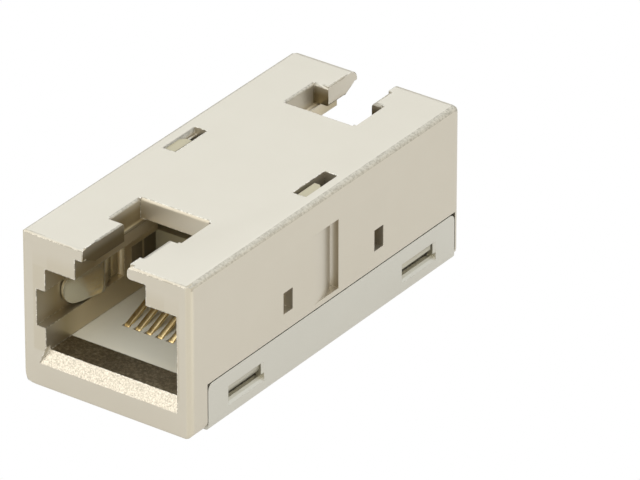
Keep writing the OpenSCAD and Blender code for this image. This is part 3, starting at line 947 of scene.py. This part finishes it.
class Bench:
    """Modelling steps that several pieces share."""

    MERGE_DISTANCE = 0.0005 * MM
    FLAT_ANGLE = math.radians(0.5)
    COIN_ANGLE = math.radians(35.0)
    SMOOTH_ANGLE = math.radians(30.0)
    FLAT_WEIGHT = 100

    @staticmethod
    def clear() -> None:
        """Deselects everything."""
        if bpy.context.object is not None and bpy.context.object.mode != "OBJECT":
            bpy.ops.object.mode_set(mode="OBJECT")
        bpy.ops.object.select_all(action="DESELECT")

    @staticmethod
    def pick(piece: bpy.types.Object) -> None:
        """Selects one object and makes it active.

        Args:
            piece: The object.
        """
        Bench.clear()
        piece.select_set(True)
        bpy.context.view_layer.objects.active = piece

    @staticmethod
    def copy_of(node: str, name: str) -> bpy.types.Object:
        """A free copy of a CAD node, with its loose triangles joined.

        Args:
            node: The CAD node's name.
            name: The copy's name.

        Returns:
            The copy.
        """
        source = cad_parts[node]
        piece = source.copy()
        piece.data = source.data.copy()
        piece.name = piece.data.name = name
        for key in list(piece.keys()):
            del piece[key]
        piece.parent = None
        bpy.context.scene.collection.objects.link(piece)
        Bench.pick(piece)
        bpy.ops.object.mode_set(mode="EDIT")
        bpy.ops.mesh.select_all(action="SELECT")
        bpy.ops.mesh.remove_doubles(threshold=Bench.MERGE_DISTANCE)
        bpy.ops.mesh.dissolve_limited(angle_limit=Bench.FLAT_ANGLE)
        bpy.ops.object.mode_set(mode="OBJECT")
        return piece

    @staticmethod
    def coin(piece: bpy.types.Object, width: float, segments: int = 2) -> None:
        """Rounds a piece's sharp edges, as a coining die does, and smooths its shading.

        Args:
            piece: The piece.
            width: Width of the rounding in metres.
            segments: Steps in it.
        """
        Bench.pick(piece)
        bevel = piece.modifiers.new("coined edge", "BEVEL")
        bevel.width = width
        bevel.segments = segments
        bevel.limit_method = "ANGLE"
        bevel.angle_limit = Bench.COIN_ANGLE
        bevel.use_clamp_overlap = True
        bpy.ops.object.modifier_apply(modifier=bevel.name)
        bpy.ops.object.shade_smooth_by_angle(angle=Bench.SMOOTH_ANGLE)

    @staticmethod
    def smooth_round_flats(piece: bpy.types.Object) -> None:
        """Smooths a piece's roundings and keeps the wide faces between them flat.

        Args:
            piece: The piece.
        """
        Bench.pick(piece)
        bpy.ops.object.shade_smooth_by_angle(angle=Bench.SMOOTH_ANGLE)
        flats = piece.modifiers.new("flat faces", "WEIGHTED_NORMAL")
        flats.mode = "FACE_AREA"
        flats.weight = Bench.FLAT_WEIGHT
        flats.keep_sharp = True
        bpy.ops.object.modifier_apply(modifier=flats.name)

    @staticmethod
    def dress(piece: bpy.types.Object, material: bpy.types.Material) -> None:
        """Gives a piece one finish."""
        piece.data.materials.clear()
        piece.data.materials.append(material)


# ---------------------------------------------------------------- sub-assemblies


@dataclass
class Shell:
    """The die-cast housing and its clipped cover.

    The housing's noses are drawn again with the rounder corners that tumbling gives a casting:
    each kind of edge of the outer box has its own share of the largest radius.
    """

    radius: float = 1.6 * MM
    segments: int = 12
    slack: float = 0.002 * MM
    left_base_share: float = 1.0
    right_base_share: float = 0.45
    end_base_share: float = 0.2
    left_front_share: float = 0.2
    right_front_share: float = 0.36
    rear_share: float = 0.55
    top_share: float = 0.25

    housing: CastNickel = CastNickel(
        "satin_nickel", plate=(0.585, 0.545, 0.455), shade=(0.55, 0.505, 0.415)
    )
    cover: CastNickel = CastNickel(
        "grey_nickel", plate=(0.58, 0.565, 0.50), shade=(0.545, 0.525, 0.455)
    )

    def edge_share(self, middle: Vector) -> float:
        """Share of the largest radius on one edge of the outer box.

        Args:
            middle: The edge's middle, from -1 to 1 along each axis.

        Returns:
            The share, and 0 for an edge that stays crisp.
        """
        x, y, z = (round(value) for value in middle)
        if y == 0 and z < 0:
            return self.left_base_share if x < 0 else self.right_base_share
        if y == 0:
            return self.top_share
        if z == 0 and y < 0:
            return self.left_front_share if x < 0 else self.right_front_share
        if z == 0:
            return self.rear_share
        if z < 0:
            return self.end_base_share
        return self.rear_share if y > 0 else 0.0

    def build_envelope(self) -> bpy.types.Object:
        """Models the outer box with rounded edges.

        Returns:
            The box.
        """
        size = CAD_HIGH - CAD_LOW + Vector((2 * self.slack,) * 3)
        Bench.clear()
        bpy.ops.mesh.primitive_cube_add(size=2.0, location=(0.0, 0.0, 0.0))
        envelope = bpy.context.object
        mesh = envelope.data
        weights = mesh.attributes.new("bevel_weight_edge", "FLOAT", "EDGE")
        for edge in mesh.edges:
            ends = [mesh.vertices[index].co for index in edge.vertices]
            weights.data[edge.index].value = self.edge_share((ends[0] + ends[1]) / 2)
        envelope.scale = size / 2
        envelope.location = CAD_MIDDLE
        Bench.pick(envelope)
        bpy.ops.object.transform_apply(location=True, rotation=True, scale=True)
        rounding = envelope.modifiers.new("rounding", "BEVEL")
        rounding.limit_method = "WEIGHT"
        rounding.width = self.radius
        rounding.segments = self.segments
        bpy.ops.object.modifier_apply(modifier=rounding.name)
        return envelope

    def dress(self) -> bpy.types.Material:
        """Gives both castings their finish.

        Returns:
            The housing's finish.
        """
        finish = self.housing.material()
        Bench.dress(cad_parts["housing"], finish)
        Bench.dress(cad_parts["bottom_cover"], self.cover.material())
        LOG.info("housing and cover dressed")
        return finish

    def build(self) -> None:
        """Dresses both castings and models the housing again inside its rounded envelope."""
        finish = self.dress()
        envelope = self.build_envelope()
        tumbled = Bench.copy_of("housing", "tumbled_housing")
        trim = tumbled.modifiers.new("tumbled corners", "BOOLEAN")
        trim.operation = "INTERSECT"
        trim.solver = "EXACT"
        trim.object = envelope
        Bench.pick(tumbled)
        bpy.ops.object.modifier_apply(modifier=trim.name)
        bpy.data.objects.remove(envelope)
        Bench.smooth_round_flats(tumbled)
        Bench.dress(tumbled, finish)
        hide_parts("housing")
        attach(tumbled, "root")
        LOG.info("housing: %d faces", len(tumbled.data.polygons))


@dataclass
class ContactSet:
    """The bent contact strips of one socket."""

    end: End
    finish: bpy.types.Material
    coined_edge: float = 0.05 * MM

    def build(self) -> None:
        """Models each strip with coined edges over its CAD node."""
        for number in range(1, CONTACT_COUNT + 1):
            node = f"contact_{self.end.value}_{number}"
            strip = Bench.copy_of(node, f"coined_{node}")
            Bench.coin(strip, self.coined_edge)
            Bench.dress(strip, self.finish)
            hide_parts(node)
            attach(strip, "root")
        LOG.info("%s contacts: %d strips", self.end.value, CONTACT_COUNT)


@dataclass
class BendSeats:
    """The plastic of one carrier that is moulded round the contact bends."""

    end: End
    finish: bpy.types.Material
    reach: tuple[float, float] = (10.28 * MM, 11.12 * MM)
    height: tuple[float, float] = (2.12 * MM, 3.192 * MM)
    half_width: float = 0.335 * MM
    moulded_edge: float = 0.02 * MM

    def build(self) -> None:
        """Models one block in each notch of the carrier, and joins them."""
        blocks = [self.build_block(number) for number in range(CONTACT_COUNT)]
        Bench.clear()
        for block in blocks:
            block.select_set(True)
        bpy.context.view_layer.objects.active = blocks[0]
        bpy.ops.object.join()
        bpy.ops.object.transform_apply(location=True, rotation=True, scale=True)
        seats = bpy.context.object
        seats.name = seats.data.name = f"bend_seats_{self.end.value}"
        Bench.coin(seats, self.moulded_edge, segments=1)
        Bench.dress(seats, self.finish)
        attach(seats, "root")
        LOG.info("%s bend seats", self.end.value)

    def build_block(self, number: int) -> bpy.types.Object:
        """Models the block in one notch.

        Args:
            number: The contact's number, from 0.

        Returns:
            The block.
        """
        sign = self.end.sign
        width, (near, far), (base, top) = 2 * self.half_width, self.reach, self.height
        across = SOCKET_SHIFT + (number - (CONTACT_COUNT - 1) / 2) * CONTACT_PITCH
        middle = (-sign * across, sign * (near + far) / 2 + MIDDLE_Y, (base + top) / 2)
        Bench.clear()
        bpy.ops.mesh.primitive_cube_add(
            size=1.0, location=middle, scale=(width, far - near, top - base)
        )
        return bpy.context.object


@dataclass
class Interior:
    """The board, the carriers, the comb block and the solder joints."""

    # Both plastics get painted shade above their shade height, the comb's browner
    carrier: MouldedPlastic = MouldedPlastic(
        "carrier_grey",
        light=(0.80, 0.78, 0.67),
        dark=(0.71, 0.69, 0.58),
        shaded=(0.60, 0.58, 0.49),
        shade_height=3.3 * MM,
    )
    comb: MouldedPlastic = MouldedPlastic(
        "comb_grey",
        light=(0.74, 0.71, 0.62),
        dark=(0.66, 0.63, 0.54),
        shaded=(0.36, 0.325, 0.215),
        shade_height=4.9 * MM,
    )
    board: SolderMask = SolderMask("green_board")
    solder: SolderFillet = SolderFillet("bright_solder")

    def build(self) -> None:
        """Gives each of them its finish, and models the plastic round the bends."""
        carrier, solder = self.carrier.material(), self.solder.material()
        for end in End:
            Bench.dress(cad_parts[f"contact_carrier_{end.value}"], carrier)
            Bench.dress(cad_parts[f"solder_joints_{end.value}"], solder)
        Bench.dress(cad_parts["contact_comb"], self.comb.material())
        Bench.dress(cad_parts["circuit_board"], self.board.material())
        LOG.info("board, carriers and comb dressed")
        for end in End:
            BendSeats(end, carrier).build()


@dataclass
class ShieldSpring:
    """The shield spring of one socket."""

    end: End
    finish: bpy.types.Material
    coined_edge: float = 0.04 * MM

    def build(self) -> None:
        """Models the leaf with coined edges over its CAD node."""
        node = f"shield_spring_{self.end.value}"
        leaf = Bench.copy_of(node, f"coined_{node}")
        Bench.coin(leaf, self.coined_edge)
        Bench.dress(leaf, self.finish)
        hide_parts(node)
        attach(leaf, "root")
        LOG.info("%s shield spring", self.end.value)


# ---------------------------------------------------------------- studio


@dataclass(frozen=True)
class SoftLamp:
    """A square soft lamp that points at the part.

    Its size is the length of a side in metres, and its power is in watts.
    """

    name: str
    place: Triple
    size: float
    power: float
    colour: Colour

    def build(self) -> None:
        """Adds the lamp."""
        data = bpy.data.lights.new(self.name, "AREA")
        data.shape = "SQUARE"
        data.size = self.size
        data.energy = self.power
        data.color = self.colour
        lamp = bpy.data.objects.new(self.name, data)
        bpy.context.scene.collection.objects.link(lamp)
        lamp.location = self.place
        lamp.rotation_mode = "QUATERNION"
        lamp.rotation_quaternion = Vector(self.place).to_track_quat("Z", "Y")


@dataclass
class Studio:
    """A pale floor, large soft lamps and an even world."""

    cool: Colour = (0.83, 0.90, 1.0)
    warm: Colour = (1.0, 0.96, 0.88)
    floor_size: float = 0.9
    floor_drop: float = 0.01 * MM
    floor_tone: Colour = (0.86, 0.86, 0.86)
    floor_mirrored: float = 0.8
    world_tone: Colour = (1.0, 0.985, 0.95)
    world_strength: float = 0.53

    def build(self) -> None:
        """Makes the floor, the lamps and the world."""
        self.make_floor()
        self.make_world()
        lamps = (
            SoftLamp("overhead", (-0.05, 0.18, 0.5), size=1.0, power=4.25, colour=self.cool),
            SoftLamp("right_window", (0.5, -0.08, 0.22), size=0.8, power=2.6, colour=self.warm),
            SoftLamp("front_window", (-0.16, -0.5, 0.2), size=0.8, power=2.65, colour=self.warm),
        )
        for lamp in lamps:
            lamp.build()

    def make_floor(self) -> None:
        """Makes the floor: white to the eye and to mirrors, matt to the light, clear from below."""
        Bench.clear()
        bpy.ops.mesh.primitive_plane_add(size=self.floor_size, location=(0, 0, -self.floor_drop))
        floor = bpy.context.object
        floor.name = "floor"
        g = Graph("pale_floor")
        matt = g.node("ShaderNodeBsdfDiffuse", None, {"Color": self.floor_tone})
        white = g.node("ShaderNodeEmission", None, {"Color": (1.0, 1.0, 1.0), "Strength": 1.0})
        clear = g.node("ShaderNodeBsdfTransparent")
        path = g.node("ShaderNodeLightPath")
        seen = g.wire(path, "Is Camera Ray").most(g.wire(path, "Is Transmission Ray"))
        seen = seen.most(g.wire(path, "Is Glossy Ray") * self.floor_mirrored)
        below = g.wire(g.node("ShaderNodeNewGeometry"), "Backfacing")
        above = g.node("ShaderNodeMixShader", None, {0: seen, 1: g.wire(matt), 2: g.wire(white)})
        both = g.node("ShaderNodeMixShader", None, {0: below, 1: g.wire(above), 2: g.wire(clear)})
        g.node("ShaderNodeOutputMaterial", None, {0: g.wire(both)})
        Bench.dress(floor, g.material)

    def make_world(self) -> None:
        """Lights the part evenly from all round."""
        world = bpy.data.worlds.new("soft_light")
        world.use_nodes = True
        background = world.node_tree.nodes["Background"]
        background.inputs["Color"].default_value = (*self.world_tone, 1.0)
        background.inputs["Strength"].default_value = self.world_strength
        bpy.context.scene.world = world


@dataclass
class Viewpoint:
    """A long lens that looks down on the front right corner.

    The lens and the sensor's width are in millimetres, as the camera takes them.
    """

    azimuth: float = math.radians(35.48)
    elevation: float = math.radians(29.33)
    distance: float = 0.57624
    pan_right: float = 0.005604
    pan_up: float = 0.00007
    lens: float = 432.9
    sensor: float = 36.0
    nearest: float = 0.05
    farthest: float = 5.0

    def build(self) -> None:
        """Makes the scene's camera."""
        flat = math.cos(self.elevation)
        north, east = -math.cos(self.azimuth) * flat, math.sin(self.azimuth) * flat
        back = Vector((east, north, math.sin(self.elevation)))
        right = Vector((math.cos(self.azimuth), math.sin(self.azimuth), 0.0))
        pan = right * self.pan_right + back.cross(right) * self.pan_up
        data = bpy.data.cameras.new("camera")
        data.lens = self.lens
        data.sensor_width = self.sensor
        data.clip_start = self.nearest
        data.clip_end = self.farthest
        camera = bpy.data.objects.new("camera", data)
        bpy.context.scene.collection.objects.link(camera)
        camera.location = CAD_MIDDLE + back * self.distance + pan
        camera.rotation_mode = "QUATERNION"
        camera.rotation_quaternion = back.to_track_quat("Z", "Y")
        bpy.context.scene.camera = camera


def main() -> None:
    """Builds the looks, piece by piece."""
    logging.basicConfig(level=logging.INFO, format="%(name)s: %(message)s")
    Viewpoint().build()
    Studio().build()
    Shell().build()
    Interior().build()
    gold, sheet = GoldPlate("gold_plate").material(), RolledNickel("rolled_nickel").material()
    for end in End:
        ContactSet(end, gold).build()
        ShieldSpring(end, sheet).build()
    bpy.context.scene.view_settings.view_transform = "Standard"


if __name__ == "__main__":
    main()
